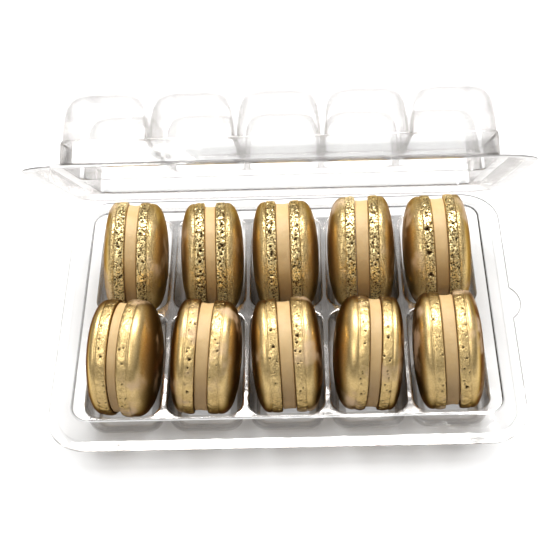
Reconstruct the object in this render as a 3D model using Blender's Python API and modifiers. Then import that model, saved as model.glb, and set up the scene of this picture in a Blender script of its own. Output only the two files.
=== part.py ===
"""Clear hinged blister pack holding ten macarons on edge, with its lid standing half open.

Lengths are in millimetres until a mesh is made, and Blender's unit is the metre. +Z is up, the
columns run along X, the lid is hinged along the back, and the pack stands on its cavity floors.
"""

import math

import bmesh
import bpy
from mathutils import Vector, noise

MM = 0.001

# Layout of the ten cavities
COLUMNS = 5
COLUMN_PITCH = 32.0
ROW_PITCH = 55.5

# Formed sheet of the tray and the lid
SHEET = 0.5
CORNER_STEPS = 3
CAVITY_WIDTH = 29.2
CAVITY_LENGTH = 53.0
CAVITY_CORNER = 6.2
CAVITY_DEPTH = 21.2
LAND_MARGIN = 5.3
LAND_FRONT_MARGIN = 1.4
STEP_RUN = 5.4
STEP_DROP = 2.4
FLANGE_WIDTH = 3.9
LAND_CORNER = 7.0
TAB_WIDTH = 17.0
TAB_REACH = 3.8
TAB_Y = 3.0

# Lid, drawn closed: heights are above the tray's flange
HINGE_CLEARANCE = 0.3
LID_OPEN_DEGREES = 48.5
PLINTH_HEIGHT = 11.0
DOME_HEIGHT = 29.7
DOME_EASE = 0.3

# Puts the origin under the middle of the pack, with its finger tab and its open lid
TRAY_CENTRE_X = -TAB_REACH / 2
TRAY_CENTRE_Y = -3.35

# Macarons: outer diameter and the share of it that each form takes
SEGMENTS = 20
GAP = 0.3
FOOT_HEIGHT = 4.6
RUFFLE = 0.35
ROUNDNESS = 0.010

# One row for each macaron, front row first, left to right: diameter, left shell, filling, right
# shell, turn about Z, lean about Y, shift along X and along Y. Lengths in mm, angles in degrees.
MACARONS = (
    (47.6, 10.5, 3.8, 13.2, -6.0, -1.0, 0.2, 0.9),
    (46.8, 10.8, 5.2, 12.0, -3.0, 3.6, 0.2, 0.9),
    (46.8, 11.3, 5.3, 11.6, 2.6, -0.8, 0.2, 0.9),
    (46.8, 13.2, 4.6, 9.8, -1.0, 3.4, 0.4, 0.9),
    (47.8, 11.6, 5.2, 11.0, 0.0, -3.6, 0.2, 1.2),
    (47.6, 9.8, 5.0, 12.0, 0.0, 3.2, 0.6, 1.8),
    (46.4, 10.6, 4.4, 11.6, 2.0, 2.0, 0.9, 1.6),
    (46.9, 10.7, 5.6, 11.8, 1.0, -0.6, 0.0, 1.9),
    (47.6, 12.2, 5.4, 10.8, -1.0, -1.5, -0.1, 1.8),
    (47.8, 12.4, 5.6, 10.4, 0.4, -2.6, -0.1, 1.9),
)

# Worked out from the dimensions above
FIELD_X = ((COLUMNS - 1) * COLUMN_PITCH + CAVITY_WIDTH) / 2
FIELD_Y = (ROW_PITCH + CAVITY_LENGTH) / 2
LAND_Z = CAVITY_DEPTH + SHEET
FLANGE_Z = LAND_Z - STEP_DROP
FLANGE_Y = FIELD_Y + LAND_MARGIN + STEP_RUN + FLANGE_WIDTH
HINGE_Y = FLANGE_Y + HINGE_CLEARANCE / 2


def clear_scene():
    for obj in list(bpy.data.objects):
        bpy.data.objects.remove(obj, do_unlink=True)


def new_collection(name):
    collection = bpy.data.collections.new(name)
    bpy.context.scene.collection.children.link(collection)
    return collection


def new_material(name, colour, roughness, metallic=0.0, alpha=1.0, transmission=0.0):
    material = bpy.data.materials.new(name)
    material.use_nodes = True
    shader = material.node_tree.nodes["Principled BSDF"]
    shader.inputs["Base Color"].default_value = (*colour, 1.0)
    shader.inputs["Roughness"].default_value = roughness
    shader.inputs["Metallic"].default_value = metallic
    shader.inputs["Alpha"].default_value = alpha
    shader.inputs["Transmission Weight"].default_value = transmission
    return material


def add_object(name, mesh, material, collection, parent=None):
    mesh.materials.clear()
    mesh.materials.append(material)
    obj = bpy.data.objects.new(name, mesh)
    collection.objects.link(obj)
    obj.parent = parent
    return obj


def add_empty(name, location, collection, parent=None):
    empty = bpy.data.objects.new(name, None)
    empty.empty_display_size = 10 * MM
    empty.location = Vector(location) * MM
    collection.objects.link(empty)
    empty.parent = parent
    return empty


def rounded_rectangle(half_x, half_y, radius, z, centre=(0.0, 0.0)):
    """Corner points of a rounded rectangle, counter-clockwise seen from above."""
    points = []
    for corner, (side_x, side_y) in enumerate(((1, 1), (-1, 1), (-1, -1), (1, -1))):
        for step in range(CORNER_STEPS + 1):
            angle = (corner + step / CORNER_STEPS) * math.pi / 2
            points.append((
                centre[0] + side_x * (half_x - radius) + radius * math.cos(angle),
                centre[1] + side_y * (half_y - radius) + radius * math.sin(angle),
                z,
            ))
    return points


def finger_tab():
    """Points of the round tab on the right-hand flange, from front to back."""
    radius = (TAB_REACH ** 2 + (TAB_WIDTH / 2) ** 2) / (2 * TAB_REACH)
    half_angle = math.asin(TAB_WIDTH / 2 / radius)
    middle_x = FIELD_X + LAND_MARGIN + STEP_RUN + FLANGE_WIDTH + TAB_REACH - radius
    points = []
    for step in range(7):
        angle = (step / 3 - 1) * half_angle
        points.append((
            middle_x + radius * math.cos(angle),
            TAB_Y + radius * math.sin(angle),
            FLANGE_Z,
        ))
    return points


def add_ring(bm, points):
    """A closed loop of edges through points given in millimetres."""
    verts = [bm.verts.new(Vector(point) * MM) for point in points]
    return [bm.edges.new((verts[i - 1], verts[i])) for i in range(len(verts))]


def fill_between(bm, *loops):
    """Fills the flat area inside the first loop and outside the others."""
    edges = [edge for loop in loops for edge in loop]
    bmesh.ops.triangle_fill(bm, use_beauty=True, use_dissolve=False, edges=edges)


def add_tub(bm, sections, centre):
    """Lofts rounded sections of changing size and radius, and closes the last. Returns the first loop."""
    loops = [add_ring(bm, rounded_rectangle(*section, centre)) for section in sections]
    for upper, lower in zip(loops, loops[1:]):
        bmesh.ops.bridge_loops(bm, edges=upper + lower)
    fill_between(bm, loops[-1])
    return loops[0]


def sheet_mesh(name, bm):
    """Turns an open surface into a mesh whose faces look upwards."""
    bmesh.ops.recalc_face_normals(bm, faces=bm.faces)
    highest = max(bm.faces, key=lambda face: abs(face.normal.z) * face.calc_area())
    if highest.normal.z < 0:
        bmesh.ops.reverse_faces(bm, faces=bm.faces)
    mesh = bpy.data.meshes.new(name)
    bm.to_mesh(mesh)
    bm.free()
    return mesh


def add_wall(obj, offset):
    """Gives an open sheet its thickness: offset -1 adds it below the surface, 1 above."""
    wall = obj.modifiers.new("Sheet", "SOLIDIFY")
    wall.thickness = SHEET * MM
    wall.offset = offset
    wall.use_even_offset = True


def cell_centres():
    """Column index, row index and centre of each cavity, front row first."""
    for row in range(2):
        for column in range(COLUMNS):
            x = (column - (COLUMNS - 1) / 2) * COLUMN_PITCH
            y = (row - 0.5) * ROW_PITCH
            yield column, row, (x, y)


def cavity_sections():
    """Half width, half length, corner radius and height of the cavity, from its rim to its floor."""
    half_x = CAVITY_WIDTH / 2
    half_y = CAVITY_LENGTH / 2
    floor = LAND_Z - CAVITY_DEPTH
    return (
        (half_x, half_y, CAVITY_CORNER, LAND_Z),
        (half_x - 0.3, half_y - 1.8, CAVITY_CORNER, LAND_Z - 0.52 * CAVITY_DEPTH),
        (half_x - 0.8, half_y - 6.0, CAVITY_CORNER - 0.4, LAND_Z - 0.84 * CAVITY_DEPTH),
        (half_x - 2.4, half_y - 11.5, CAVITY_CORNER - 1.6, floor),
    )


def dome_sections():
    """The same for a dome of the lid, from the plinth to the top."""
    half_x = CAVITY_WIDTH / 2 + DOME_EASE
    half_y = CAVITY_LENGTH / 2
    return (
        (half_x, half_y - 0.4, CAVITY_CORNER, PLINTH_HEIGHT),
        (half_x - 0.2, half_y - 1.4, CAVITY_CORNER + 0.4, 0.60 * DOME_HEIGHT),
        (half_x - 1.0, half_y - 4.2, CAVITY_CORNER + 0.8, 0.83 * DOME_HEIGHT),
        (half_x - 2.8, half_y - 8.0, CAVITY_CORNER + 0.6, 0.95 * DOME_HEIGHT),
        (half_x - 6.0, half_y - 12.5, CAVITY_CORNER - 0.8, DOME_HEIGHT),
    )


def border_ring(bm, reach, height, centre=(0.0, 0.0), front_reach=None):
    """A loop at a given distance outside the field of cavities, which may be another in front."""
    if front_reach is None:
        front_reach = reach
    radius = LAND_CORNER + reach - LAND_MARGIN
    half_y = FIELD_Y + (reach + front_reach) / 2
    middle = (centre[0], centre[1] + (reach - front_reach) / 2)
    return add_ring(bm, rounded_rectangle(FIELD_X + reach, half_y, radius, height, middle))


def tray_edge(bm):
    """The flange's outline, with the finger tab on its right-hand side."""
    reach = LAND_MARGIN + STEP_RUN + FLANGE_WIDTH
    radius = LAND_CORNER + reach - LAND_MARGIN
    outline = rounded_rectangle(FIELD_X + reach, FIELD_Y + reach, radius, FLANGE_Z)
    return add_ring(bm, outline + finger_tab())


def make_tray(material, collection, parent):
    bm = bmesh.new()
    rims = [add_tub(bm, cavity_sections(), centre) for _, _, centre in cell_centres()]
    land = border_ring(bm, LAND_MARGIN, LAND_Z, front_reach=LAND_FRONT_MARGIN)
    fill_between(bm, land, *rims)
    foot = border_ring(bm, LAND_MARGIN + STEP_RUN, FLANGE_Z)
    bmesh.ops.bridge_loops(bm, edges=land + foot)
    fill_between(bm, tray_edge(bm), foot)
    tray = add_object("tray", sheet_mesh("tray", bm), material, collection, parent)
    add_wall(tray, -1)


def lid_half(bm, side):
    """The lid's sheet on one side of the rib between the rows: 1 is towards the hinge, -1 away."""
    half = bm.copy()
    bmesh.ops.bisect_plane(
        half,
        geom=half.verts[:] + half.edges[:] + half.faces[:],
        plane_co=Vector((0, side * GAP / 2 - HINGE_Y, 0)) * MM,
        plane_no=(0, -side, 0),
        clear_outer=True,
    )
    return half


def make_lid(material, collection, parent):
    """The lid is drawn closed, from the hinge axis forwards, then turned up about that axis.

    It is one sheet, made here as two solids that part in the rib between the rows."""
    under = HINGE_CLEARANCE / 2
    land_height = STEP_DROP + under
    middle = (0.0, -HINGE_Y)
    bm = bmesh.new()
    flange = border_ring(bm, LAND_MARGIN + STEP_RUN + FLANGE_WIDTH, under, middle)
    foot = border_ring(bm, LAND_MARGIN + STEP_RUN, under, middle)
    land = border_ring(bm, LAND_MARGIN, land_height, middle, LAND_FRONT_MARGIN)
    fill_between(bm, flange, foot)
    bmesh.ops.bridge_loops(bm, edges=foot + land)
    skirts = []
    for row in (-0.5, 0.5):
        centre = (0.0, middle[1] + row * ROW_PITCH)
        half_y = CAVITY_LENGTH / 2
        skirt = add_ring(bm, rounded_rectangle(
            FIELD_X + DOME_EASE + 1.0, half_y + 0.6, CAVITY_CORNER, land_height, centre))
        shelf = add_ring(bm, rounded_rectangle(
            FIELD_X + DOME_EASE + 0.6, half_y + 0.2, CAVITY_CORNER, PLINTH_HEIGHT, centre))
        bmesh.ops.bridge_loops(bm, edges=skirt + shelf)
        domes = [add_tub(bm, dome_sections(), (x, centre[1]))
                 for _, line, (x, _) in cell_centres() if line == 0]
        fill_between(bm, shelf, *domes)
        skirts.append(skirt)
    fill_between(bm, land, *skirts)
    for name, side in (("lid_hinge_half", 1), ("lid_free_half", -1)):
        half = add_object(name, sheet_mesh(name, lid_half(bm, side)), material, collection, parent)
        half.rotation_euler.x = -math.radians(LID_OPEN_DEGREES)
        add_wall(half, 1)
    bm.free()


def turned(name, profile):
    """A closed turned body about Z from (radius, height) points in mm, listed from top to bottom."""
    bm = bmesh.new()
    verts = [bm.verts.new((radius * MM, 0, height * MM)) for radius, height in profile]
    for first, second in zip(verts, verts[1:]):
        bm.edges.new((first, second))
    outline = bpy.data.meshes.new(name)
    bm.to_mesh(outline)
    bm.free()
    maker = bpy.data.objects.new(name, outline)
    bpy.context.scene.collection.objects.link(maker)
    screw = maker.modifiers.new("Turn", "SCREW")
    screw.steps = SEGMENTS
    screw.render_steps = SEGMENTS
    screw.use_merge_vertices = True
    screw.merge_threshold = 0.00001
    graph = bpy.context.evaluated_depsgraph_get()
    mesh = bpy.data.meshes.new_from_object(maker.evaluated_get(graph))
    bpy.data.objects.remove(maker, do_unlink=True)
    bpy.data.meshes.remove(outline)
    return mesh


def roughen(mesh, seed, edge_radius, foot_height, depth):
    """Puts the ruffles of the foot, and a slightly uneven outline, on a turned mesh."""
    for vert in mesh.vertices:
        radius = math.hypot(vert.co.x, vert.co.y) / MM
        if radius < 0.1:
            continue
        angle = math.atan2(vert.co.y, vert.co.x)
        change = 1 + ROUNDNESS * math.sin(2 * angle + seed)
        if radius > edge_radius and vert.co.z / MM < foot_height:
            spot = Vector((3 * math.cos(angle), 3 * math.sin(angle), vert.co.z / MM + 7.3 * seed))
            change += depth * noise.noise(2.1 * spot) / radius
        vert.co.x *= change
        vert.co.y *= change


def shell_profile(radius, thickness):
    """Half section of a macaron shell, from the crown down to the flat inner face."""
    foot_radius = radius / (1 + ROUNDNESS) - RUFFLE
    crown = thickness - FOOT_HEIGHT
    points = [(0.0, thickness)]
    for share in (0.93, 0.78, 0.52, 0.22):
        width = (foot_radius - 0.2) * (1 - share ** 2.6) ** (1 / 2.2)
        points.append((width, FOOT_HEIGHT + share * crown))
    points += [
        (foot_radius - 0.6, FOOT_HEIGHT),
        (foot_radius, 0.55 * FOOT_HEIGHT),
        (foot_radius - 0.5, 0.1 * FOOT_HEIGHT),
        (foot_radius - 2.4, 0.0),
        (0.0, 0.0),
    ]
    return points


def filling_profile(radius, thickness):
    """Half section of the filling, slightly hollow at its rim."""
    return [
        (0.0, thickness),
        (radius, thickness),
        (radius - 0.25, thickness / 2),
        (radius, 0.0),
        (0.0, 0.0),
    ]


def make_macaron(number, sizes, centre, materials, collection, parent):
    """Two shells and the filling between them, standing on edge in one cavity."""
    diameter, left, filling, right, turn, lean, shift_x, shift_y = sizes
    radius = diameter / 2
    middle = (left - right) / 2
    name = f"macaron_{number:02d}"
    place = (centre[0] + shift_x, centre[1] + shift_y, LAND_Z)
    holder = add_empty(name, place, collection, parent)
    holder.rotation_euler = (0, math.radians(lean), math.radians(turn))

    pieces = []
    for side, thickness, word in ((-1, left, "left"), (1, right, "right")):
        mesh = turned("shell", shell_profile(radius, thickness))
        roughen(mesh, 3 * number + side, 0.9 * radius, FOOT_HEIGHT, RUFFLE)
        shell = add_object(f"{name}_{word}_shell", mesh, materials["shell"], collection, holder)
        shell.location.x = (middle + side * filling / 2) * MM
        shell.rotation_euler.y = side * math.pi / 2
        pieces.append(shell)

    core = turned("filling", filling_profile(radius - 1.9, filling - 2 * GAP))
    roughen(core, 3 * number, 0.5 * radius, filling, 0.3)
    cream = add_object(f"{name}_filling", core, materials["filling"], collection, holder)
    cream.location.x = (middle - filling / 2 + GAP) * MM
    cream.rotation_euler.y = math.pi / 2
    pieces.append(cream)

    for piece in pieces:
        piece.data.shade_smooth()
        piece.data.set_sharp_from_angle(angle=math.radians(50))
    stand_on_floor(holder, pieces)


def stand_on_floor(holder, pieces):
    """Raises or lowers a macaron until its lowest point is just above the cavity's floor."""
    bpy.context.view_layer.update()
    lowest = min((piece.matrix_world @ vert.co).z for piece in pieces for vert in piece.data.vertices)
    holder.location.z += (LAND_Z - CAVITY_DEPTH + GAP) * MM - lowest


def main():
    clear_scene()
    collection = new_collection("macaron_blister_pack")
    materials = {
        "plastic": new_material("clear_plastic", (0.95, 0.96, 0.97), 0.08, alpha=0.35),
        "shell": new_material("gold_dusted_shell", (0.62, 0.46, 0.19), 0.32, metallic=0.85),
        "filling": new_material("buttercream", (0.80, 0.66, 0.43), 0.55),
    }
    base = add_empty("pack", (TRAY_CENTRE_X, TRAY_CENTRE_Y, 0), collection)
    hinge = add_empty(
        "hinge", (0, HINGE_Y, FLANGE_Z + HINGE_CLEARANCE / 2), collection, base)
    make_tray(materials["plastic"], collection, base)
    make_lid(materials["plastic"], collection, hinge)
    for number, (sizes, cell) in enumerate(zip(MACARONS, cell_centres()), start=1):
        make_macaron(number, sizes, cell[2], materials, collection, base)
    bpy.context.view_layer.update()


main()
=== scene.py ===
"""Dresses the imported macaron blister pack: clear formed sheets, gold-dusted macarons with their
filling, a pale floor, soft light and the camera.

Lengths are in millimetres until a mesh is made."""

import math

import bmesh
import bpy
import numpy as np
from mathutils import Matrix, Vector


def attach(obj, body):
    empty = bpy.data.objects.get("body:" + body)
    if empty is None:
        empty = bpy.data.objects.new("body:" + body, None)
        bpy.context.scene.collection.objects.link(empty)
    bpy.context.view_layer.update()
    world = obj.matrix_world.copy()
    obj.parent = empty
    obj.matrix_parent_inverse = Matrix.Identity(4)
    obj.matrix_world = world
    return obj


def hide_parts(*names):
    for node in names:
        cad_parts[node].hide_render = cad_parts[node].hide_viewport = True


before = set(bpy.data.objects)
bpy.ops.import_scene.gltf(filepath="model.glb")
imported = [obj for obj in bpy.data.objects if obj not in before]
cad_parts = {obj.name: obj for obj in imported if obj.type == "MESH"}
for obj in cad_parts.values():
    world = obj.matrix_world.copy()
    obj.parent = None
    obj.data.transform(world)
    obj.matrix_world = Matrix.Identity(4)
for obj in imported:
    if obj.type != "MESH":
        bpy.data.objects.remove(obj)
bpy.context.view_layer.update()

MM = 0.001

# The pack's own sizes, the same as in the solids
COLUMNS = 5
ROWS = 2
COLUMN_PITCH = 32.0
ROW_PITCH = 55.5
SHEET = 0.5
CAVITY_WIDTH = 29.2
CAVITY_LENGTH = 53.0
CAVITY_CORNER = 6.2
CAVITY_DEPTH = 21.2
LAND_MARGIN = 5.3
LAND_FRONT_MARGIN = 1.4
STEP_RUN = 5.4
STEP_DROP = 2.4
FLANGE_WIDTH = 3.9
LAND_CORNER = 7.0
TAB_WIDTH = 17.0
TAB_REACH = 3.8
TAB_Y = 3.0
HINGE_CLEARANCE = 0.3
LID_OPEN_DEGREES = 48.5
PLINTH_HEIGHT = 11.0
DOME_HEIGHT = 29.7
DOME_EASE = 0.3
TRAY_CENTRE_X = -TAB_REACH / 2
TRAY_CENTRE_Y = -3.35
GAP = 0.3
FOOT_HEIGHT = 4.6
RUFFLE = 0.35
ROUNDNESS = 0.010

# How finely the formed sheets are cut up, and how wide the painted shade strip along a trimmed rim
# is
CORNER_STEPS = 9
BEND_STEPS = 5
TAB_STEPS = 24
RIM_STRIP = 0.55

# Where the dark line of painted shade and the bright line of painted highlight lie along a bend,
# from 0 to 1, and how wide each is
DARK_LINE = (0.34, 0.26)
BRIGHT_LINE = (0.80, 0.13)

# How finely a macaron is cut up: round its axis, down its cap, down its foot, across its filling
TURN_STEPS = 360
CAP_STEPS = 24
FOOT_STEPS = 16
RIM_STEPS = 12

# How full a cap's section is, sideways and upwards, where 2 makes an ellipse
CAP_SIDE_FULLNESS = 2.2
CAP_TOP_FULLNESS = 2.6

# How far the cream stays inside the shells' edge, and how much thinner it is than the gap it fills
CREAM_INSET = 1.9
CREAM_PLAY = 0.1

# One row for each macaron, as in the solids: diameter, left shell, filling, right shell, turn,
# lean, shift along X and along Y. The last number is how crackled its feet are, from 0 to 1.
MACARONS = (
    (47.6, 10.5, 3.8, 13.2, -6.0, -1.0, 0.2, 0.9, 0.1),
    (46.8, 10.8, 5.2, 12.0, -3.0, 3.6, 0.2, 0.9, 0.08),
    (46.8, 11.3, 5.3, 11.6, 2.6, -0.8, 0.2, 0.9, 0.12),
    (46.8, 13.2, 4.6, 9.8, -1.0, 3.4, 0.4, 0.9, 0.06),
    (47.8, 11.6, 5.2, 11.0, 0.0, -3.6, 0.2, 1.2, 0.12),
    (47.6, 9.8, 5.0, 12.0, 0.0, 3.2, 0.6, 1.8, 1.0),
    (46.4, 10.6, 4.4, 11.6, 2.0, 2.0, 0.9, 1.6, 1.0),
    (46.9, 10.7, 5.6, 11.8, 1.0, -0.6, 0.0, 1.9, 0.9),
    (47.6, 12.2, 5.4, 10.8, -1.0, -1.5, -0.1, 1.8, 0.9),
    (47.8, 12.4, 5.6, 10.4, 0.4, -2.6, -0.1, 1.9, 0.9),
)

# Large holes in the feet: macaron, side (-1 left, 1 right), degrees from the top towards the front,
# height above the filling, radius
LARGE_PITS = (
    (10, -1, 22, 2.6, 1.1), (10, -1, 47, 2.4, 1.2), (10, -1, 70, 2.2, 1.1), (10, 1, 18, 2.4, 0.6),
    (7, -1, 38, 1.9, 0.8), (7, -1, 50, 2.2, 0.7), (7, -1, 61, 2.0, 0.6), (7, 1, 33, 2.8, 0.9),
    (8, -1, 18, 2.6, 0.6), (8, -1, 44, 2.2, 0.7), (9, -1, 52, 2.6, 0.6), (9, 1, 30, 2.4, 0.5),
    (6, -1, 28, 2.2, 0.5), (1, -1, 40, 2.0, 0.5), (2, -1, 44, 2.0, 0.7), (2, -1, 78, 2.4, 0.6),
    (3, -1, 32, 2.2, 0.7), (3, 1, 22, 2.0, 0.8), (3, -1, 15, 2.8, 0.6), (4, 1, 25, 2.2, 0.6),
    (5, 1, 80, 2.6, 0.8), (5, 1, 60, 2.0, 0.5),
)

FIELD_X = ((COLUMNS - 1) * COLUMN_PITCH + CAVITY_WIDTH) / 2
FIELD_Y = (ROW_PITCH + CAVITY_LENGTH) / 2
LAND_Z = CAVITY_DEPTH + SHEET
FLANGE_Z = LAND_Z - STEP_DROP
FLANGE_REACH = LAND_MARGIN + STEP_RUN + FLANGE_WIDTH
HINGE_Y = FIELD_Y + FLANGE_REACH + HINGE_CLEARANCE / 2

# Colours of the gold and the meringue under it
GOLD_BETWEEN_GRAINS = (0.50, 0.33, 0.105)
GOLD_GRAINS = (0.84, 0.63, 0.315)
# Painted shade on the shells' flanks, where they face their neighbours
GOLD_PAINTED_FLANK_SHADE = (0.085, 0.044, 0.004)
GOLD_SHEEN = (0.50, 0.32, 0.08, 1.0)
BARE_MERINGUE = (0.60, 0.42, 0.27)
# Painted shade in the crumbs' hollows and painted highlights on their tops
CRUMB_SHADOWS = (0.13, 0.06, 0.012)
CRUMB_PAINTED_HIGHLIGHTS = (1.0, 0.80, 0.40)
DARK_SPECKS = (0.07, 0.035, 0.012)
# Painted shade in the holes of the feet
HOLE_PAINTED_SHADE = (0.035, 0.015, 0.006)

# Colours of the cream, and the heights in metres between which its painted shade grows towards the
# bottom
CREAM_DARK = (0.48, 0.315, 0.13)
CREAM_LIGHT = (0.64, 0.455, 0.225)
CREAM_IN_SHADE = (0.34, 0.21, 0.085)
CREAM_SHADE_HEIGHTS = (0.046, 0.020)

# Colours of the clear sheet, from seen square on to seen along it, and how much each hides
SHEET_TINTS = (
    (0.0, (0.95, 0.94, 0.93)),
    (0.5, (0.62, 0.585, 0.545)),
    (0.75, (0.29, 0.255, 0.225)),
    (1.0, (0.20, 0.172, 0.150)),
)
SHEET_VEIL = (
    (0.0, (0.03,) * 3),
    (0.4, (0.07,) * 3),
    (0.6, (0.17,) * 3),
    (0.8, (0.54,) * 3),
    (1.0, (0.88,) * 3),
)
# The painted shade and the painted highlight that the sheet's dark and bright marks put into it
PAINTED_SHADE_COLOUR = (0.06, 0.045, 0.035)
GLINT_COLOUR = (1.0, 1.0, 1.0)

# The room's brightness from below to above, and the pale wall that the camera sees past the floor
ROOM_HEIGHTS = (
    (0.0, (0.06, 0.056, 0.05)),
    (0.30, (0.07, 0.066, 0.06)),
    (0.6, (0.75,) * 3),
    (1.0, (1.25,) * 3),
)
ROOM_STRENGTH = 0.70
PALE_WALL = (1.15, 1.15, 1.15)
FLOOR_GREYS = ((0.78, 0.78, 0.78), (0.81, 0.81, 0.81))
FLOOR_REACH = 3.0

# The camera, fitted to the photograph: its angles in degrees, its place from the middle of the
# tray's land, and its focal length in pixels of a square picture
CAMERA_ELEVATION = 46.564
CAMERA_YAW = -1.857
CAMERA_ROLL = -2.678
CAMERA_PLACE = (10.82, -395.16, 434.90)
FOCAL_PIXELS = 1425.1
PICTURE_PIXELS = 560
SENSOR_WIDTH = 36.0


# The formed sheets


def section(half_x, half_y, radius, z, centre=(0.0, 0.0), thick=1.0, painted_shade=0.0):
    """One rounded outline of a formed wall, as numbers that can be blended with the next one.

    The last two are how thick the sheet still is there, since forming stretches it thin and
    clear, and how much painted shade it gets."""
    return np.array([half_x, half_y, centre[0], centre[1], radius, z, thick, painted_shade])


def outline(numbers):
    """The outline's points, counter-clockwise seen from above."""
    half_x, half_y, centre_x, centre_y, radius, z = numbers[:6]
    points = []
    for corner, (side_x, side_y) in enumerate(((1, 1), (-1, 1), (-1, -1), (1, -1))):
        for step in range(CORNER_STEPS + 1):
            angle = (corner + step / CORNER_STEPS) * math.pi / 2
            points.append((
                centre_x + side_x * (half_x - radius) + radius * math.cos(angle),
                centre_y + side_y * (half_y - radius) + radius * math.sin(angle),
                z,
            ))
    return points


def along_bend(t, line):
    """How strong the painted dark line or the painted highlight is at one place of a bend."""
    middle, width = line
    return math.exp(-((t - middle) / width) ** 2)


def eased(sections, bends):
    """Puts a soft bend of the given size at each inner section, as heated sheet has.

    Each bend is a size and how strongly its painted shade and painted highlight show. Every outline
    of the path comes with two marks: how much painted shade and how much painted highlight it gets."""
    path = [(sections[0], 0.0, 0.0)]
    for before, here, after, (size, strength) in zip(sections, sections[1:], sections[2:], bends):
        into = before - here
        out = after - here
        start = here + into * min(0.48, size / np.linalg.norm(into))
        end = here + out * min(0.48, size / np.linalg.norm(out))
        for step in range(BEND_STEPS + 1):
            t = step / BEND_STEPS
            blend = start * (1 - t) ** 2 + here * 2 * t * (1 - t) + end * t ** 2
            ends = 0.0 if step in (0, BEND_STEPS) else strength
            path.append((blend, along_bend(t, DARK_LINE) * ends, along_bend(t, BRIGHT_LINE) * ends))
    path.append((sections[-1], 0.0, 0.0))
    return path


def add_loop(bm, points, dark=0.0, bright=0.0, thick=1.0):
    """A closed loop of edges whose points keep its painted shade, its painted highlight and how
    thick the sheet is.
    """
    marks = []
    for label, value in (("dark", dark), ("bright", bright), ("thick", thick)):
        layer = bm.verts.layers.float.get(label) or bm.verts.layers.float.new(label)
        marks.append((layer, value))
    verts = [bm.verts.new(Vector(point) * MM) for point in points]
    for vert in verts:
        for layer, value in marks:
            vert[layer] = value
    for i in range(len(verts)):
        bm.edges.new((verts[i - 1], verts[i]))
    return verts


def bridge(bm, upper, lower):
    """Quads between two loops of as many points."""
    for i in range(len(upper)):
        bm.faces.new((upper[i - 1], upper[i], lower[i], lower[i - 1]))


def loop_edges(bm, verts):
    return [bm.edges.get((verts[i - 1], verts[i])) for i in range(len(verts))]


def skin(bm, path):
    """Quads between outlines that follow each other. Returns the first and the last loop."""
    loops = [add_loop(bm, outline(numbers), max(dark, numbers[7]), bright, numbers[6])
             for numbers, dark, bright in path]
    for upper, lower in zip(loops, loops[1:]):
        bridge(bm, upper, lower)
    return loops[0], loops[-1]


def cut_edge(bm, points, dark):
    """The trimmed rim of the sheet, with a narrow strip of painted shade along it.

    Returns the strip's inner loop."""
    inner = []
    for before, here, after in zip(points[-1:] + points[:-1], points, points[1:] + points[:1]):
        along = Vector(after) - Vector(before)
        inwards = Vector((-along.y, along.x, 0)).normalized()
        inner.append(tuple(Vector(here) + inwards * RIM_STRIP))
    rim = add_loop(bm, points, dark=dark)
    strip = add_loop(bm, inner)
    bridge(bm, rim, strip)
    return strip


def flat_between(bm, edges):
    bmesh.ops.triangle_fill(bm, use_beauty=True, use_dissolve=False, edges=edges)


def to_mesh(name, bm):
    """An open sheet as a mesh, its faces looking upwards."""
    bmesh.ops.recalc_face_normals(bm, faces=bm.faces)
    highest = max(bm.faces, key=lambda face: abs(face.normal.z) * face.calc_area())
    if highest.normal.z < 0:
        bmesh.ops.reverse_faces(bm, faces=bm.faces)
    mesh = bpy.data.meshes.new(name)
    bm.to_mesh(mesh)
    bm.free()
    return mesh


def cavity_mesh():
    """One cavity of the tray, with the narrow strip of land round its rim."""
    x = CAVITY_WIDTH / 2
    y = CAVITY_LENGTH / 2
    floor = LAND_Z - CAVITY_DEPTH
    sections = [
        section(x + 1.2, y + 1.2, CAVITY_CORNER + 1.2, LAND_Z),
        section(x, y, CAVITY_CORNER, LAND_Z),
        # A little painted shade on the cavity's steep wall
        section(x - 0.3, y - 1.8, CAVITY_CORNER, LAND_Z - 0.52 * CAVITY_DEPTH,
                thick=0.8, painted_shade=0.1),
        section(x - 0.8, y - 6.0, CAVITY_CORNER - 0.4, LAND_Z - 0.84 * CAVITY_DEPTH, thick=0.4),
        section(x - 2.4, y - 11.5, CAVITY_CORNER - 1.6, floor, thick=0.2),
        section(x - 6.0, y - 15.0, CAVITY_CORNER - 4.0, floor, thick=0.2),
    ]
    bm = bmesh.new()
    bends = ((1.0, 0.6), (4.0, 0.0), (3.0, 0.1), (1.6, 0.4))
    _, bottom = skin(bm, eased(sections, bends))
    flat_between(bm, loop_edges(bm, bottom))
    return to_mesh("cavity", bm)


def dome_mesh():
    """One dome of the lid, drawn closed, with the narrow strip of shelf round its foot."""
    x = CAVITY_WIDTH / 2 + DOME_EASE
    y = CAVITY_LENGTH / 2
    sections = [
        section(x + 0.55, y + 0.05, CAVITY_CORNER + 0.5, PLINTH_HEIGHT),
        section(x, y - 0.4, CAVITY_CORNER, PLINTH_HEIGHT),
        section(x - 0.2, y - 1.4, CAVITY_CORNER + 0.4, 0.60 * DOME_HEIGHT, thick=0.35),
        section(x - 1.0, y - 4.2, CAVITY_CORNER + 0.8, 0.83 * DOME_HEIGHT, thick=0.25),
        section(x - 2.8, y - 8.0, CAVITY_CORNER + 0.6, 0.95 * DOME_HEIGHT, thick=0.1),
        section(x - 6.0, y - 12.5, CAVITY_CORNER - 0.8, DOME_HEIGHT, thick=0.0),
        section(x - 8.0, y - 15.0, CAVITY_CORNER - 2.4, DOME_HEIGHT, thick=0.1),
    ]
    bm = bmesh.new()
    bends = ((0.5, 0.4), (3.0, 0.0), (2.4, 0.05), (1.9, 0.1), (1.9, 0.0))
    _, top = skin(bm, eased(sections, bends))
    flat_between(bm, loop_edges(bm, top))
    return to_mesh("dome", bm)


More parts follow.
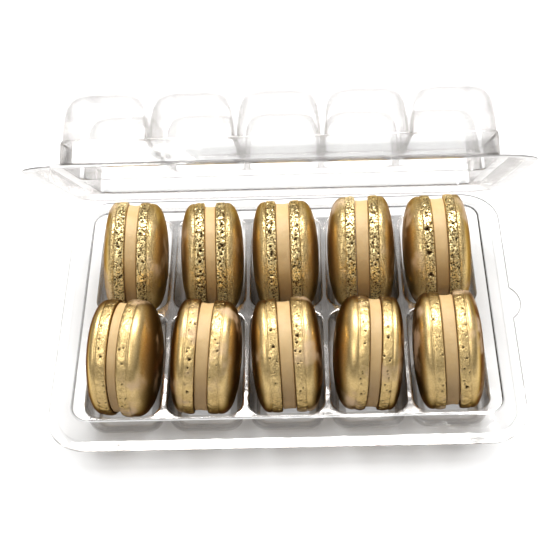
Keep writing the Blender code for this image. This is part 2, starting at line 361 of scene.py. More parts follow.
def cells_tree():
    """Geometry Nodes: copies of one formed cell on a grid of columns and rows."""
    tree = bpy.data.node_groups.new("formed cells", "GeometryNodeTree")
    for label, kind in (
        ("Cell", "Geometry"),
        ("Columns", "Int"),
        ("Rows", "Int"),
        ("Column Pitch", "Float"),
        ("Row Pitch", "Float"),
        ("Material", "Material"),
    ):
        tree.interface.new_socket(label, in_out="INPUT", socket_type=f"NodeSocket{kind}")
    tree.interface.new_socket("Cells", in_out="OUTPUT", socket_type="NodeSocketGeometry")
    nodes, links = tree.nodes, tree.links
    given = nodes.new("NodeGroupInput")
    result = nodes.new("NodeGroupOutput")
    grid = nodes.new("GeometryNodeMeshGrid")
    for count, pitch, size, vertices in (
        ("Columns", "Column Pitch", "Size X", "Vertices X"),
        ("Rows", "Row Pitch", "Size Y", "Vertices Y"),
    ):
        gaps = nodes.new("ShaderNodeMath")
        gaps.operation = "SUBTRACT"
        gaps.inputs[1].default_value = 1
        span = nodes.new("ShaderNodeMath")
        span.operation = "MULTIPLY"
        links.new(given.outputs[count], gaps.inputs[0])
        links.new(gaps.outputs[0], span.inputs[0])
        links.new(given.outputs[pitch], span.inputs[1])
        links.new(span.outputs[0], grid.inputs[size])
        links.new(given.outputs[count], grid.inputs[vertices])
    copies = nodes.new("GeometryNodeInstanceOnPoints")
    real = nodes.new("GeometryNodeRealizeInstances")
    finish = nodes.new("GeometryNodeSetMaterial")
    links.new(grid.outputs["Mesh"], copies.inputs["Points"])
    links.new(given.outputs["Cell"], copies.inputs["Instance"])
    links.new(copies.outputs["Instances"], real.inputs["Geometry"])
    links.new(real.outputs["Geometry"], finish.inputs["Geometry"])
    links.new(given.outputs["Material"], finish.inputs["Material"])
    links.new(finish.outputs["Geometry"], result.inputs["Cells"])
    return tree


def set_inputs(modifier, **values):
    """Sets a Geometry Nodes modifier's inputs by the identifiers of their sockets."""
    for item in modifier.node_group.interface.items_tree:
        if item.item_type == "SOCKET" and item.in_out == "INPUT":
            key = item.name.replace(" ", "_")
            if key in values:
                modifier[item.identifier] = values[key]


def plain_mesh(obj):
    """The object's evaluated mesh, with the object and its modifiers gone."""
    graph = bpy.context.evaluated_depsgraph_get()
    mesh = bpy.data.meshes.new_from_object(obj.evaluated_get(graph))
    old = obj.data
    bpy.data.objects.remove(obj, do_unlink=True)
    bpy.data.meshes.remove(old)
    return mesh


def repeated(cell, tree, material):
    """Ten copies of a cell, as one mesh."""
    maker = bpy.data.objects.new(cell.name, cell)
    bpy.context.scene.collection.objects.link(maker)
    grid = maker.modifiers.new("Cells", "NODES")
    grid.node_group = tree
    set_inputs(grid, Columns=COLUMNS, Rows=ROWS, Column_Pitch=COLUMN_PITCH * MM,
               Row_Pitch=ROW_PITCH * MM, Material=material)
    return plain_mesh(maker)


def border(reach, z, centre=(0.0, 0.0), front_reach=None, painted_shade=0.0):
    """A section at a given distance outside the field of cells, which may be another in front."""
    if front_reach is None:
        front_reach = reach
    return section(
        FIELD_X + reach,
        FIELD_Y + (reach + front_reach) / 2,
        LAND_CORNER + reach - LAND_MARGIN,
        z,
        (centre[0], centre[1] + (reach - front_reach) / 2),
        painted_shade=painted_shade,
    )


def finger_tab():
    """Points of the round tab on the right-hand flange, from front to back."""
    radius = (TAB_REACH ** 2 + (TAB_WIDTH / 2) ** 2) / (2 * TAB_REACH)
    half_angle = math.asin(TAB_WIDTH / 2 / radius)
    edge = FIELD_X + FLANGE_REACH
    points = []
    for step in range(TAB_STEPS + 1):
        angle = (2 * step / TAB_STEPS - 1) * half_angle
        points.append((
            edge + TAB_REACH - radius + radius * math.cos(angle),
            TAB_Y + radius * math.sin(angle),
            FLANGE_Z,
        ))
    return points


def open_rims(bm):
    """The open edges of the ten cells, before the sheet between them is filled in."""
    return [edge for edge in bm.edges if edge.is_boundary]


def finished_sheet(name, bm, offset, place, material):
    """Gives the formed sheet its thickness and its place, and makes it a piece of the object."""
    mesh = to_mesh(name, bm)
    maker = bpy.data.objects.new(name, mesh)
    bpy.context.scene.collection.objects.link(maker)
    wall = maker.modifiers.new("Sheet", "SOLIDIFY")
    wall.thickness = SHEET * MM
    wall.offset = offset
    wall.use_even_offset = True
    walled = plain_mesh(maker)
    walled.name = name
    walled.transform(place)
    walled.materials.clear()
    walled.materials.append(material)
    walled.shade_smooth()
    walled.set_sharp_from_angle(angle=math.radians(35))
    piece = bpy.data.objects.new(name, walled)
    bpy.context.scene.collection.objects.link(piece)
    return piece


def paint_tray_shade(bm):
    """Painted reflection and shade: the dividers get the brown of the shells beside them, and the
    front flange a little painted shadow.

    The painted dark line of the bend round the land is made fainter in front and at the left."""
    divider_painted_reflection_and_shade = 0.55
    flange_painted_shadow = 0.14
    layer = bm.verts.layers.float["dark"]
    outer = COLUMNS * COLUMN_PITCH / 2
    land_front = -ROW_PITCH / 2 - CAVITY_LENGTH / 2 - LAND_FRONT_MARGIN
    for vert in bm.verts:
        x, y, z = vert.co / MM
        off = (x + COLUMN_PITCH / 2) % COLUMN_PITCH
        beside = min(off, COLUMN_PITCH - off) < 3.0 and abs(x) < outer - COLUMN_PITCH / 2
        if z > LAND_Z - 5 and abs(x) < outer and (beside or abs(y) < 2.6):
            vert[layer] = max(vert[layer], divider_painted_reflection_and_shade)
        elif y < land_front - STEP_RUN:
            vert[layer] = max(vert[layer], flange_painted_shadow)
        elif y < land_front + 3 and z > FLANGE_Z + 0.4:
            vert[layer] *= 0.45
        elif x < -outer:
            vert[layer] *= 0.6


def make_tray(tree, material):
    bm = bmesh.new()
    bm.from_mesh(repeated(cavity_mesh(), tree, material))
    rims = open_rims(bm)
    sections = [
        border(LAND_MARGIN - 1.0, LAND_Z, front_reach=LAND_FRONT_MARGIN - 0.1),
        border(LAND_MARGIN, LAND_Z, front_reach=LAND_FRONT_MARGIN),
        border(LAND_MARGIN + STEP_RUN, FLANGE_Z),
        border(LAND_MARGIN + STEP_RUN + 1.2, FLANGE_Z),
    ]
    inner, outer = skin(bm, eased(sections, ((1.3, 1.4), (1.3, 0.3))))
    flat_between(bm, rims + loop_edges(bm, inner))
    strip = cut_edge(bm, outline(border(FLANGE_REACH, FLANGE_Z)) + finger_tab(), dark=0.85)
    flat_between(bm, loop_edges(bm, outer) + loop_edges(bm, strip))
    paint_tray_shade(bm)
    place = Matrix.Translation(Vector((TRAY_CENTRE_X, TRAY_CENTRE_Y, 0)) * MM)
    return finished_sheet("tray_sheet", bm, -1, place, material)


def paint_lid_shade(bm):
    """Painted shade along the free edge, and a stronger painted dark line at the foot of the row
    by the hinge.

    On the rib between the rows and on the domes by the hinge the painted lines are made fainter."""
    edge_painted_shade = 0.42
    layer = bm.verts.layers.float["dark"]
    rib = -HINGE_Y
    hinge_foot = rib + ROW_PITCH / 2 + CAVITY_LENGTH / 2
    free_foot = rib - ROW_PITCH / 2 - CAVITY_LENGTH / 2
    for vert in bm.verts:
        y, z = vert.co.y / MM, vert.co.z / MM
        if abs(y - rib) < ROW_PITCH - CAVITY_LENGTH and z < PLINTH_HEIGHT + 1:
            vert[layer] *= 0.35
        elif rib < y < hinge_foot - 1.5 and z > PLINTH_HEIGHT + 1:
            vert[layer] *= 0.3
        elif abs(y - hinge_foot) < 2.5 and z < 0.5 * PLINTH_HEIGHT:
            vert[layer] = min(1.0, 2.2 * vert[layer])
        elif y < free_foot + 0.5 and z < PLINTH_HEIGHT - 1:
            vert[layer] = max(vert[layer], edge_painted_shade)


def make_lid(tree, material):
    """Drawn closed from the hinge axis forwards, then turned up about that axis."""
    under = HINGE_CLEARANCE / 2
    land_height = STEP_DROP + under
    middle = (0.0, -HINGE_Y)
    bm = bmesh.new()
    bm.from_mesh(repeated(dome_mesh(), tree, material))
    bmesh.ops.translate(bm, verts=bm.verts, vec=Vector((0, -HINGE_Y, 0)) * MM)
    rims = open_rims(bm)
    sections = [
        # The lid's flange, step and land get some painted shade
        border(FLANGE_REACH - 1.5, under, middle, painted_shade=0.06),
        border(LAND_MARGIN + STEP_RUN, under, middle, painted_shade=0.18),
        border(LAND_MARGIN, land_height, middle, LAND_FRONT_MARGIN, painted_shade=0.1),
        border(LAND_MARGIN - 0.8, land_height, middle, LAND_FRONT_MARGIN - 0.1),
    ]
    flange, land = skin(bm, eased(sections, ((1.1, 0.35), (0.8, 0.6))))
    strip = cut_edge(bm, outline(border(FLANGE_REACH, under, middle)), dark=0.5)
    bridge(bm, strip, flange)
    feet = []
    # Painted shade on the foot of each row of domes, more on the row at the free edge
    for row, row_painted_shade in ((-0.5, 0.45), (0.5, 0.22)):
        centre = (0.0, middle[1] + row * ROW_PITCH)
        x = FIELD_X + DOME_EASE
        y = CAVITY_LENGTH / 2
        corner = CAVITY_CORNER
        sections = [
            section(x + 1.15, y + 0.68, corner, land_height, centre, painted_shade=row_painted_shade),
            section(x + 1.0, y + 0.6, corner, land_height, centre, painted_shade=row_painted_shade),
            section(x + 0.8, y + 0.4, corner, 0.6 * PLINTH_HEIGHT, centre, painted_shade=row_painted_shade / 4),
            section(x + 0.6, y + 0.2, corner, PLINTH_HEIGHT, centre),
            section(x + 0.58, y + 0.08, corner, PLINTH_HEIGHT, centre),
        ]
        foot, shelf = skin(bm, eased(sections, ((0.6, 0.6), (0.5, 0.0), (0.6, 0.1))))
        feet += loop_edges(bm, foot)
        own = [edge for edge in rims if abs(edge.verts[0].co.y / MM - centre[1]) < ROW_PITCH / 2]
        flat_between(bm, own + loop_edges(bm, shelf))
    flat_between(bm, feet + loop_edges(bm, land))
    paint_lid_shade(bm)
    place = Matrix.Translation(Vector((
        TRAY_CENTRE_X, TRAY_CENTRE_Y + HINGE_Y, FLANGE_Z + under)) * MM)
    turn = Matrix.Rotation(-math.radians(LID_OPEN_DEGREES), 4, "X")
    return finished_sheet("lid_sheet", bm, 1, place @ turn, material)


# The macarons


def lattice_noise(seed, angle, height, cell):
    """Smooth noise from -1 to 1 round a macaron, on cells of one size, closed at the full turn."""
    radius = 23.0
    around = max(4, round(2 * math.pi * radius / cell))
    rows = 96
    rows_below = 20
    values = np.random.default_rng(seed).uniform(-1, 1, (rows, around))
    u = (angle / (2 * math.pi)) % 1.0 * around
    v = height / cell + rows_below
    i = np.floor(u).astype(int)
    j = np.floor(v).astype(int)
    s = u - i
    t = v - j
    s = s * s * (3 - 2 * s)
    t = t * t * (3 - 2 * t)
    i0, i1 = i % around, (i + 1) % around
    j0, j1 = j % rows, (j + 1) % rows
    low = values[j0, i0] * (1 - s) + values[j0, i1] * s
    high = values[j1, i0] * (1 - s) + values[j1, i1] * s
    return low * (1 - t) + high * t


def smooth_step(low, high, x):
    """From 0 at the low end to 1 at the high end, without corners."""
    t = np.clip((x - low) / (high - low), 0, 1)
    return t * t * (3 - 2 * t)


def shell_curve(radius, thickness):
    """Half section of a shell from its crown down to its inner face: radius and height."""
    foot = radius / (1 + ROUNDNESS) - RUFFLE
    crown = thickness - FOOT_HEIGHT
    curve = []
    for step in range(CAP_STEPS + 1):
        turn = step / CAP_STEPS * math.pi / 2
        curve.append((
            (foot - 0.2) * math.sin(turn) ** (2 / CAP_SIDE_FULLNESS),
            FOOT_HEIGHT + crown * max(0.0, math.cos(turn)) ** (2 / CAP_TOP_FULLNESS),
        ))
    for step in range(1, FOOT_STEPS + 1):
        share = 1 - step / (FOOT_STEPS + 1)
        dip = 0.32 * math.exp(-((share - 0.97) / 0.05) ** 2)
        curve.append((foot - 0.4 * abs(2 * share - 1) ** 3 - dip, share * FOOT_HEIGHT))
    inner_face = ((0.7, 0.12), (1.1, 0.04), (1.8, 0.0), (2.6, 0.0), (6.0, 0.0), (foot, 0.0))
    for inset, height in inner_face:
        curve.append((foot - inset, height))
    return np.array(curve)


def closed_body(name, points):
    """A mesh from a grid of points, along the section and round the axis, whose ends are poles."""
    rows, around, _ = points.shape
    verts = [tuple(points[0, 0])]
    verts += [tuple(p) for p in points[1:-1].reshape(-1, 3)]
    verts.append(tuple(points[-1, 0]))
    last = len(verts) - 1
    faces = []
    for k in range(around):
        n = (k + 1) % around
        faces.append((0, 1 + k, 1 + n))
        faces.append((last, 1 + (rows - 3) * around + n, 1 + (rows - 3) * around + k))
        for row in range(rows - 3):
            a = 1 + row * around
            b = a + around
            faces.append((a + k, b + k, b + n, a + n))
    mesh = bpy.data.meshes.new(name)
    mesh.from_pydata(verts, [], faces)
    mesh.update()
    return mesh


def mark(mesh, name, grid):
    """Keeps one number a point on the mesh, for the materials to read."""
    values = np.concatenate([[grid[0, 0]], grid[1:-1].ravel(), [grid[-1, 0]]])
    attribute = mesh.attributes.new(name, "FLOAT", "POINT")
    attribute.data.foreach_set("value", values.astype(np.float32))


def shell_mesh(number, side, radius, thickness, crackle):
    """One shell about Z, its crown upwards: smooth cap, ruffled foot, holes where air got out."""
    curve = shell_curve(radius, thickness)
    seed = 3 * number + side
    turn = np.linspace(0, 2 * math.pi, TURN_STEPS, endpoint=False)
    angle = np.tile(turn, (len(curve), 1))
    r = np.repeat(curve[:, :1], TURN_STEPS, 1)
    z = np.repeat(curve[:, 1:], TURN_STEPS, 1)
    row = np.repeat(np.arange(len(curve))[:, None], TURN_STEPS, 1)
    foot_end = CAP_STEPS + FOOT_STEPS
    foot = smooth_step(CAP_STEPS - 0.5, CAP_STEPS + 2.5, row)
    foot *= 1 - smooth_step(foot_end + 0.5, foot_end + 3.5, row)
    cap = (row <= CAP_STEPS).astype(float)

    change = 0.16 * lattice_noise(seed, angle, z, 7.0) * (foot + 0.4 * cap * r / radius)
    change += foot * (0.15 - 0.06 * crackle) * lattice_noise(seed + 100, angle, z, 1.9)
    change += foot * (0.06 + 0.09 * crackle) * lattice_noise(seed + 200, angle, z, 0.75)
    change = np.minimum(change, RUFFLE)

    chance = np.random.default_rng(900 + seed)
    pit_count = int(34 + 36 * crackle)
    smallest = 0.28
    largest = smallest + 0.24 * (0.7 + crackle)
    pits = []
    for _ in range(pit_count):
        where = chance.uniform(0, 2 * math.pi)
        height = chance.uniform(0.7, FOOT_HEIGHT - 0.6)
        size = chance.uniform(smallest, largest)
        pits.append((where, height, size))
    for of_macaron, of_side, degrees, height, size in LARGE_PITS:
        if (of_macaron, of_side) == (number, side):
            where = math.pi + math.radians(degrees) if side > 0 else -math.radians(degrees)
            pits.append((where, height, size))
    pit = np.zeros_like(r)
    for where, height, size in pits:
        across = (angle - where + math.pi) % (2 * math.pi) - math.pi
        wobble = 1 + 0.25 * np.sin(3 * np.arctan2(z - height, across * radius) + where * 9)
        away = np.hypot(across * radius, z - height) / (size * wobble)
        pit = np.maximum(pit, np.clip(1 - away ** 2, 0, 1) * min(1.0, size / 0.5) * foot)
    change -= 0.9 * pit ** 0.7

    out = (r + change) * (1 + ROUNDNESS * np.sin(2 * angle + seed))
    out[0] = 0
    out[-1] = 0
    lift = 0.10 * cap * (r / radius) * lattice_noise(seed + 300, angle, r, 9.0)
    lift[0] = 0
    points = np.stack([out * np.cos(angle), out * np.sin(angle), z + lift], -1)
    mesh = closed_body("shell", points)
    mark(mesh, "pit", pit)
    skirt = 0.35 * smooth_step(CAP_STEPS - 6, CAP_STEPS, row) * cap
    mark(mesh, "crackle", np.maximum(foot, skirt) * crackle)
    # How much lighter the painted flank shade is: less dark on the more crackled shells
    mark(mesh, "lighter_painted_flanks", np.full_like(r, crackle))
    return mesh


def filling_mesh(number, radius, thickness):
    """The cream between the shells, a little hollow at its rim and wavy where it meets them."""
    half = thickness / 2
    face = [(0.0, half), (radius * 0.6, half), (radius - 0.7, half), (radius - 0.15, half - 0.12)]
    curve = list(face)
    for step in range(1, RIM_STEPS):
        share = 1 - 2 * step / RIM_STEPS
        curve.append((radius - 0.28 * (1 - share ** 2), share * (half - 0.15)))
    curve += [(r, -z) for r, z in reversed(face)]
    curve = np.array(curve)
    turn = np.linspace(0, 2 * math.pi, TURN_STEPS, endpoint=False)
    angle = np.tile(turn, (len(curve), 1))
    r = np.repeat(curve[:, :1], TURN_STEPS, 1)
    z = np.repeat(curve[:, 1:], TURN_STEPS, 1)
    rim = smooth_step(0.9 * radius, radius, r)
    out = r + rim * (0.22 * lattice_noise(number + 500, angle, z * 0.3, 9.0)
                     + 0.05 * lattice_noise(number + 600, angle, z, 2.2))
    out[0] = 0
    out[-1] = 0
    points = np.stack([out * np.cos(angle), out * np.sin(angle), z], -1)
    return closed_body("filling", points)


def make_macaron(number, sizes, centre, materials):
    """Two shells and the filling between them, standing on edge in one cavity."""
    diameter, left, filling, right, turn, lean, shift_x, shift_y, crackle = sizes
    radius = diameter / 2
    middle = (left - right) / 2
    name = f"macaron_{number:02d}"
    holder = (Matrix.Rotation(math.radians(turn), 4, "Z")
              @ Matrix.Rotation(math.radians(lean), 4, "Y"))
    parts = []
    for side, thickness, word in ((-1, left, "left"), (1, right, "right")):
        mesh = shell_mesh(number, side, radius, thickness, crackle)
        local = (Matrix.Translation((middle + side * filling / 2, 0, 0))
                 @ Matrix.Rotation(side * math.pi / 2, 4, "Y"))
        parts.append((f"{name}_{word}_shell", mesh, local, "shell", "gold_shell"))
    cream = filling_mesh(number, radius - CREAM_INSET, filling - CREAM_PLAY)
    local = Matrix.Translation((middle, 0, 0)) @ Matrix.Rotation(math.pi / 2, 4, "Y")
    parts.append((f"{name}_filling", cream, local, "filling", "buttercream"))

    lowest = 0.0
    for _, mesh, local, _, _ in parts:
        mesh.transform(holder @ local)
        co = np.empty(len(mesh.vertices) * 3)
        mesh.vertices.foreach_get("co", co)
        lowest = min(lowest, co[2::3].min())
    place = Matrix.Translation((
        centre[0] + shift_x + TRAY_CENTRE_X,
        centre[1] + shift_y + TRAY_CENTRE_Y,
        LAND_Z - CAVITY_DEPTH + GAP - lowest,
    ))
    for node, mesh, _, material, slot in parts:
        mesh.transform(Matrix.Scale(MM, 4) @ place)
        mesh.materials.append(materials[material])
        mesh.shade_smooth()
        piece = bpy.data.objects.new(f"{node}_fine", mesh)
        bpy.context.scene.collection.objects.link(piece)
        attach(piece, "base")
        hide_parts(node)


# Materials


def new_material(name):
    material = bpy.data.materials.new(name)
    material.use_nodes = True
    return material, material.node_tree.nodes, material.node_tree.links


def object_coords(nodes):
    return nodes.new("ShaderNodeTexCoord").outputs["Object"]


def ramp(nodes, stops):
    node = nodes.new("ShaderNodeValToRGB")
    elements = node.color_ramp.elements
    while len(elements) < len(stops):
        elements.new(0.5)
    for element, (position, colour) in zip(elements, stops):
        element.position = position
        element.color = (*colour, 1.0)
    return node


def noise_node(nodes, links, coords, scale, detail=3.0, roughness=0.5):
    node = nodes.new("ShaderNodeTexNoise")
    node.inputs["Scale"].default_value = scale
    node.inputs["Detail"].default_value = detail
    node.inputs["Roughness"].default_value = roughness
    links.new(coords, node.inputs["Vector"])
    return node


def math_node(nodes, links, operation, first, second, clamp=False):
    node = nodes.new("ShaderNodeMath")
    node.operation = operation
    node.use_clamp = clamp
    for socket, value in zip(node.inputs, (first, second)):
        if isinstance(value, (int, float)):
            socket.default_value = value
        else:
            links.new(value, socket)
    return node.outputs[0]


def map_range(nodes, links, value, low, high, smooth=False):
    """0 where the value is at the low end or past it, and 1 at the high end or past it."""
    node = nodes.new("ShaderNodeMapRange")
    if smooth:
        node.interpolation_type = "SMOOTHSTEP"
    node.inputs["From Min"].default_value = low
    node.inputs["From Max"].default_value = high
    links.new(value, node.inputs["Value"])
    return node.outputs["Result"]


def bump_normal(nodes, links, height, strength, distance, under=None):
    """The surface's normal with a relief on it, over another relief where one is given."""
    node = nodes.new("ShaderNodeBump")
    node.inputs["Strength"].default_value = strength
    node.inputs["Distance"].default_value = distance
    links.new(height, node.inputs["Height"])
    if under is not None:
        links.new(under, node.inputs["Normal"])
    return node.outputs["Normal"]


def facing_node(nodes):
    """Its Facing output is 0 where the surface is seen square on and 1 where it is seen along."""
    node = nodes.new("ShaderNodeLayerWeight")
    node.inputs["Blend"].default_value = 0.5
    return node


def mix_colour(nodes, links, factor, first, second):
    """The first colour where the factor is 0 and the second where it is 1."""
    node = nodes.new("ShaderNodeMix")
    node.data_type = "RGBA"
    sockets = (node.inputs[0], node.inputs[6], node.inputs[7])
    for socket, value in zip(sockets, (factor, first, second)):
        if isinstance(value, (int, float)):
            socket.default_value = value
        elif isinstance(value, tuple):
            socket.default_value = (*value, 1.0)
        else:
            links.new(value, socket)
    return node.outputs[2]


def dusting_group():
    """Gold dust on baked meringue: where it lies thick or thin, its grain, and its fine relief."""
    group = bpy.data.node_groups.new("Gold dusting", "ShaderNodeTree")
    face = group.interface
    for label, value in (("Patch Scale", 90.0), ("Grain Scale", 1500.0), ("Bare", 0.25)):
        face.new_socket(label, in_out="INPUT", socket_type="NodeSocketFloat").default_value = value
    for label, kind in (("Thin", "NodeSocketFloat"), ("Grain", "NodeSocketFloat"),
                        ("Speck", "NodeSocketFloat"), ("Relief", "NodeSocketFloat")):
        face.new_socket(label, in_out="OUTPUT", socket_type=kind)
    nodes, links = group.nodes, group.links
    given = nodes.new("NodeGroupInput")
    result = nodes.new("NodeGroupOutput")
    coords = object_coords(nodes)
    patches = noise_node(nodes, links, coords, 90.0, 3.0, 0.55)
    links.new(given.outputs["Patch Scale"], patches.inputs["Scale"])
    thin = map_range(nodes, links, patches.outputs["Fac"], 0.52, 0.70, smooth=True)
    bare = math_node(nodes, links, "MULTIPLY", thin, given.outputs["Bare"])
    links.new(bare, result.inputs["Thin"])
    grain = noise_node(nodes, links, coords, 1500.0, 2.0, 0.6)
    links.new(given.outputs["Grain Scale"], grain.inputs["Scale"])
    links.new(grain.outputs["Fac"], result.inputs["Grain"])
    cells = nodes.new("ShaderNodeTexVoronoi")
    cells.inputs["Scale"].default_value = 700.0
    links.new(coords, cells.inputs["Vector"])
    speck = map_range(nodes, links, cells.outputs["Distance"], 0.30, 0.12)
    size = nodes.new("ShaderNodeSeparateColor")
    links.new(cells.outputs["Color"], size.inputs["Color"])
    some = math_node(nodes, links, "GREATER_THAN", size.outputs["Red"], 0.55)
    links.new(math_node(nodes, links, "MULTIPLY", speck, some), result.inputs["Speck"])
    streak = nodes.new("ShaderNodeMapping")
    streak.inputs["Scale"].default_value = (1.0, 0.25, 0.25)
    links.new(coords, streak.inputs["Vector"])
    brushed = noise_node(nodes, links, streak.outputs["Vector"], 420.0, 4.0, 0.6)
    relief = math_node(nodes, links, "MULTIPLY", brushed.outputs["Fac"], 0.6)
    links.new(math_node(nodes, links, "ADD", relief, grain.outputs["Fac"]), result.inputs["Relief"])
    return group


def attribute(nodes, name):
    """A number that the mesh keeps at its points."""
    node = nodes.new("ShaderNodeAttribute")
    node.attribute_name = name
    return node.outputs["Fac"]


def shell_material(dusting):
    """Gold dust on meringue: smooth and metallic on the cap, sandy on a crackled foot."""
    material, nodes, links = new_material("gold_dusted_shell")
    shader = nodes["Principled BSDF"]
    dust = nodes.new("ShaderNodeGroup")
    dust.node_tree = dusting
    dust.inputs["Patch Scale"].default_value = 75.0
    dust.inputs["Bare"].default_value = 0.8
    pit = attribute(nodes, "pit")
    crackle = attribute(nodes, "crackle")

    # Painted shade: the gold is darker where it is seen along the surface, standing for the shade
    # between neighbouring shells, and less so on the more crackled shells
    gold = mix_colour(nodes, links, dust.outputs["Grain"], GOLD_BETWEEN_GRAINS, GOLD_GRAINS)
    along = map_range(nodes, links, facing_node(nodes).outputs["Facing"], 0.40, 0.76, smooth=True)
    kept = math_node(nodes, links, "MULTIPLY", attribute(nodes, "lighter_painted_flanks"), 0.45)
    lost = math_node(nodes, links, "SUBTRACT", 1.0, kept)
    painted_flank_shade = math_node(nodes, links, "MULTIPLY", along, lost)
    gold = mix_colour(nodes, links, painted_flank_shade, gold, GOLD_PAINTED_FLANK_SHADE)
    meringue = mix_colour(nodes, links, dust.outputs["Thin"], gold, BARE_MERINGUE)

    # Painted shade in the crumbs' hollows and painted highlights on their tops, following their
    # relief
    crumbs = noise_node(nodes, links, object_coords(nodes), 1350.0, 2.0, 0.75)
    sandy = map_range(nodes, links, crumbs.outputs["Fac"], 0.40, 0.50)
    painted_crumb_light = mix_colour(nodes, links, sandy, CRUMB_SHADOWS, CRUMB_PAINTED_HIGHLIGHTS)
    meringue = mix_colour(nodes, links, crackle, meringue, painted_crumb_light)
    specks = math_node(nodes, links, "MULTIPLY", crackle, dust.outputs["Speck"])
    specks = math_node(nodes, links, "MULTIPLY", specks, 0.8)
    crust = mix_colour(nodes, links, specks, meringue, DARK_SPECKS)
    # Painted shade in the holes, where the meringue also shows bare and less metallic
    hole_shade_and_bare = math_node(nodes, links, "MULTIPLY", pit, 1.5, clamp=True)
    links.new(mix_colour(nodes, links, hole_shade_and_bare, crust, HOLE_PAINTED_SHADE), shader.inputs["Base Color"])

    dull = math_node(nodes, links, "MULTIPLY", dust.outputs["Thin"], 0.9)
    dull = math_node(nodes, links, "MAXIMUM", dull, hole_shade_and_bare)
    dull = math_node(nodes, links, "MAXIMUM", dull, specks)
    shine = math_node(nodes, links, "SUBTRACT", 0.92, dull, clamp=True)
    links.new(shine, shader.inputs["Metallic"])

    rough = math_node(nodes, links, "MULTIPLY", dust.outputs["Grain"], 0.16)
    rough = math_node(nodes, links, "ADD", rough, 0.29)
    smoothed = math_node(nodes, links, "MULTIPLY", crackle, 0.06)
    links.new(math_node(nodes, links, "SUBTRACT", rough, smoothed), shader.inputs["Roughness"])
    shader.inputs["Specular Tint"].default_value = GOLD_SHEEN

    height = math_node(nodes, links, "MULTIPLY", dust.outputs["Relief"], 0.5)
    fine = bump_normal(nodes, links, height, 0.5, 0.00025)
    rugged = math_node(nodes, links, "SUBTRACT", sandy, specks)
    rugged = math_node(nodes, links, "MULTIPLY", rugged, crackle)
    links.new(bump_normal(nodes, links, rugged, 1.0, 0.0008, under=fine), shader.inputs["Normal"])
    return material


def filling_material():
    """Cream with a soft unevenness, and painted shade where it goes down between the shells."""
    material, nodes, links = new_material("buttercream")
    shader = nodes["Principled BSDF"]
    coords = object_coords(nodes)
    soft = noise_node(nodes, links, coords, 160.0, 4.0, 0.6)
    cream = mix_colour(nodes, links, soft.outputs["Fac"], CREAM_DARK, CREAM_LIGHT)
    place = nodes.new("ShaderNodeSeparateXYZ")
    links.new(coords, place.inputs["Vector"])
    lower = map_range(nodes, links, place.outputs["Z"], *CREAM_SHADE_HEIGHTS, smooth=True)
    links.new(mix_colour(nodes, links, lower, cream, CREAM_IN_SHADE), shader.inputs["Base Color"])
    shader.inputs["Roughness"].default_value = 0.55
    shader.inputs["Subsurface Weight"].default_value = 0.15
    shader.inputs["Subsurface Radius"].default_value = (0.003, 0.002, 0.001)
    fine = noise_node(nodes, links, coords, 600.0, 4.0, 0.65)
    links.new(bump_normal(nodes, links, fine.outputs["Fac"], 0.4, 0.0004), shader.inputs["Normal"])
    return material


def sheet_material():
    """Clear plastic, nearly invisible seen square on, darker along it, with painted shade and
    highlights.
    """
    material, nodes, links = new_material("clear_sheet")
    shader = nodes["Principled BSDF"]
    waves = noise_node(nodes, links, object_coords(nodes), 60.0, 3.0, 0.5)
    wavy = bump_normal(nodes, links, waves.outputs["Fac"], 0.35, 0.0012)
    links.new(wavy, shader.inputs["Normal"])
    facing = facing_node(nodes)
    links.new(wavy, facing.inputs["Normal"])
    dark = attribute(nodes, "dark")
    bright = attribute(nodes, "bright")

    tint = ramp(nodes, SHEET_TINTS)
    links.new(facing.outputs["Facing"], tint.inputs["Fac"])
    # Painted shade and painted highlights from the sheet's dark and bright marks
    painted_shade = mix_colour(nodes, links, dark, tint.outputs["Color"], PAINTED_SHADE_COLOUR)
    links.new(mix_colour(nodes, links, bright, painted_shade, GLINT_COLOUR), shader.inputs["Base Color"])

    veil = ramp(nodes, SHEET_VEIL)
    links.new(facing.outputs["Facing"], veil.inputs["Fac"])
    depth = math_node(nodes, links, "MULTIPLY", attribute(nodes, "thick"), 0.7)
    depth = math_node(nodes, links, "ADD", depth, 0.5)
    shade = math_node(nodes, links, "MULTIPLY", veil.outputs["Color"], depth)
    # The painted shade lines and painted highlights also hide what lies behind the sheet
    line = math_node(nodes, links, "MULTIPLY", dark, 0.88, clamp=True)
    glint = math_node(nodes, links, "MULTIPLY", bright, 0.7, clamp=True)
    clouded = math_node(nodes, links, "MAXIMUM", line, glint)
    links.new(math_node(nodes, links, "MAXIMUM", clouded, shade), shader.inputs["Alpha"])
    shader.inputs["Metallic"].default_value = 1.0
    shader.inputs["Roughness"].default_value = 0.11
    return material


# Floor, light and camera


def make_floor():
    material, nodes, links = new_material("pale_floor")
    shader = nodes["Principled BSDF"]
    shade = noise_node(nodes, links, object_coords(nodes), 4.0, 2.0)
    colour = mix_colour(nodes, links, shade.outputs["Fac"], *FLOOR_GREYS)
    links.new(colour, shader.inputs["Base Color"])
    shader.inputs["Roughness"].default_value = 0.6
    mesh = bpy.data.meshes.new("floor")
    sides = ((-1, -1), (1, -1), (1, 1), (-1, 1))
    corners = [(x * FLOOR_REACH, y * FLOOR_REACH, 0) for x, y in sides]
    mesh.from_pydata(corners, [], [(0, 1, 2, 3)])
    mesh.materials.append(material)
    floor = bpy.data.objects.new("floor", mesh)
    bpy.context.scene.collection.objects.link(floor)


def softbox(name, place, target, size, power):
    """A rectangular light in metres and watts, turned to its target."""
    light = bpy.data.lights.new(name, "AREA")
    light.shape = "RECTANGLE"
    light.size, light.size_y = size
    light.energy = power
    lamp = bpy.data.objects.new(name, light)
    lamp.location = place
    lamp.rotation_euler = (Vector(target) - Vector(place)).to_track_quat("-Z", "Y").to_euler()
    bpy.context.scene.collection.objects.link(lamp)


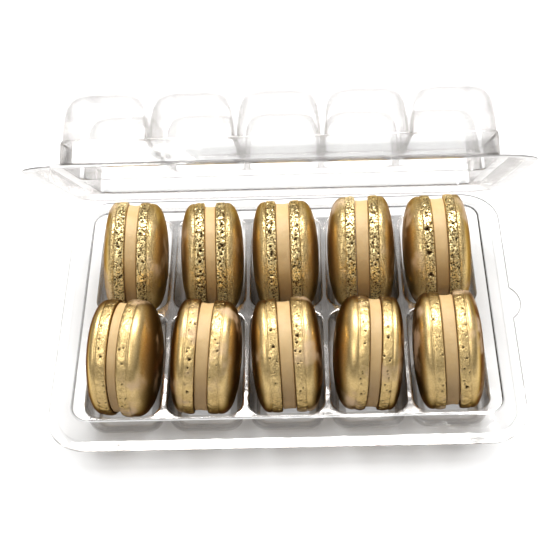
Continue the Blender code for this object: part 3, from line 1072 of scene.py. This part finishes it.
def studio_world():
    """A dim room under a bright ceiling. Behind the floor's edge the view shows a pale wall."""
    world = bpy.data.worlds.new("studio")
    world.use_nodes = True
    nodes, links = world.node_tree.nodes, world.node_tree.links
    direction = nodes.new("ShaderNodeSeparateXYZ")
    links.new(nodes.new("ShaderNodeTexCoord").outputs["Generated"], direction.inputs["Vector"])
    height = ramp(nodes, ROOM_HEIGHTS)
    links.new(direction.outputs["Z"], height.inputs["Fac"])
    seen = nodes.new("ShaderNodeLightPath").outputs["Is Camera Ray"]
    colour = mix_colour(nodes, links, seen, height.outputs["Color"], PALE_WALL)
    links.new(colour, nodes["Background"].inputs["Color"])
    nodes["Background"].inputs["Strength"].default_value = ROOM_STRENGTH
    bpy.context.scene.world = world


def light_scene():
    """A bright light above and behind the pack, and a weak one in front at the left."""
    studio_world()
    tray_middle = (0, 0, 0.02)
    softbox("key", (0.05, 0.30, 0.76), tray_middle, (0.6, 0.35), 11.0)
    softbox("fill", (-0.35, -0.45, 0.75), tray_middle, (0.35, 0.35), 2.0)


def place_camera():
    """The photographed view: fitted to the straight edges of the pack."""
    angles = (CAMERA_ELEVATION, CAMERA_YAW, CAMERA_ROLL)
    elevation, yaw, roll = (math.radians(angle) for angle in angles)
    forward = Vector((math.sin(yaw) * math.cos(elevation), math.cos(yaw) * math.cos(elevation),
                      -math.sin(elevation)))
    right = Vector((math.cos(yaw), -math.sin(yaw), 0))
    up = right.cross(forward)
    right, up = (right * math.cos(roll) + up * math.sin(roll),
                 up * math.cos(roll) - right * math.sin(roll))
    camera = bpy.data.cameras.new("camera")
    camera.sensor_width = SENSOR_WIDTH
    camera.lens = FOCAL_PIXELS / PICTURE_PIXELS * SENSOR_WIDTH
    camera.clip_start = 0.01
    viewer = bpy.data.objects.new("camera", camera)
    x, y, z = CAMERA_PLACE
    place = Vector((x + TRAY_CENTRE_X, y + TRAY_CENTRE_Y, z + LAND_Z)) * MM
    turn = Matrix((right, up, -forward)).transposed()
    viewer.matrix_world = Matrix.Translation(place) @ turn.to_4x4()
    bpy.context.scene.collection.objects.link(viewer)
    bpy.context.scene.camera = viewer


def main():
    materials = {
        "shell": shell_material(dusting_group()),
        "filling": filling_material(),
        "plastic": sheet_material(),
    }
    tree = cells_tree()
    for piece, body, solids in (
        (make_tray(tree, materials["plastic"]), "base", ("tray",)),
        (make_lid(tree, materials["plastic"]), "lid", ("lid_hinge_half", "lid_free_half")),
    ):
        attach(piece, body)
        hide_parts(*solids)
    for number, sizes in enumerate(MACARONS):
        row, column = divmod(number, COLUMNS)
        centre = ((column - (COLUMNS - 1) / 2) * COLUMN_PITCH, (row - 0.5) * ROW_PITCH)
        make_macaron(number + 1, sizes, centre, materials)
    make_floor()
    light_scene()
    place_camera()
    scene = bpy.context.scene
    scene.view_settings.view_transform = "Standard"
    scene.cycles.transparent_max_bounces = 32


main()
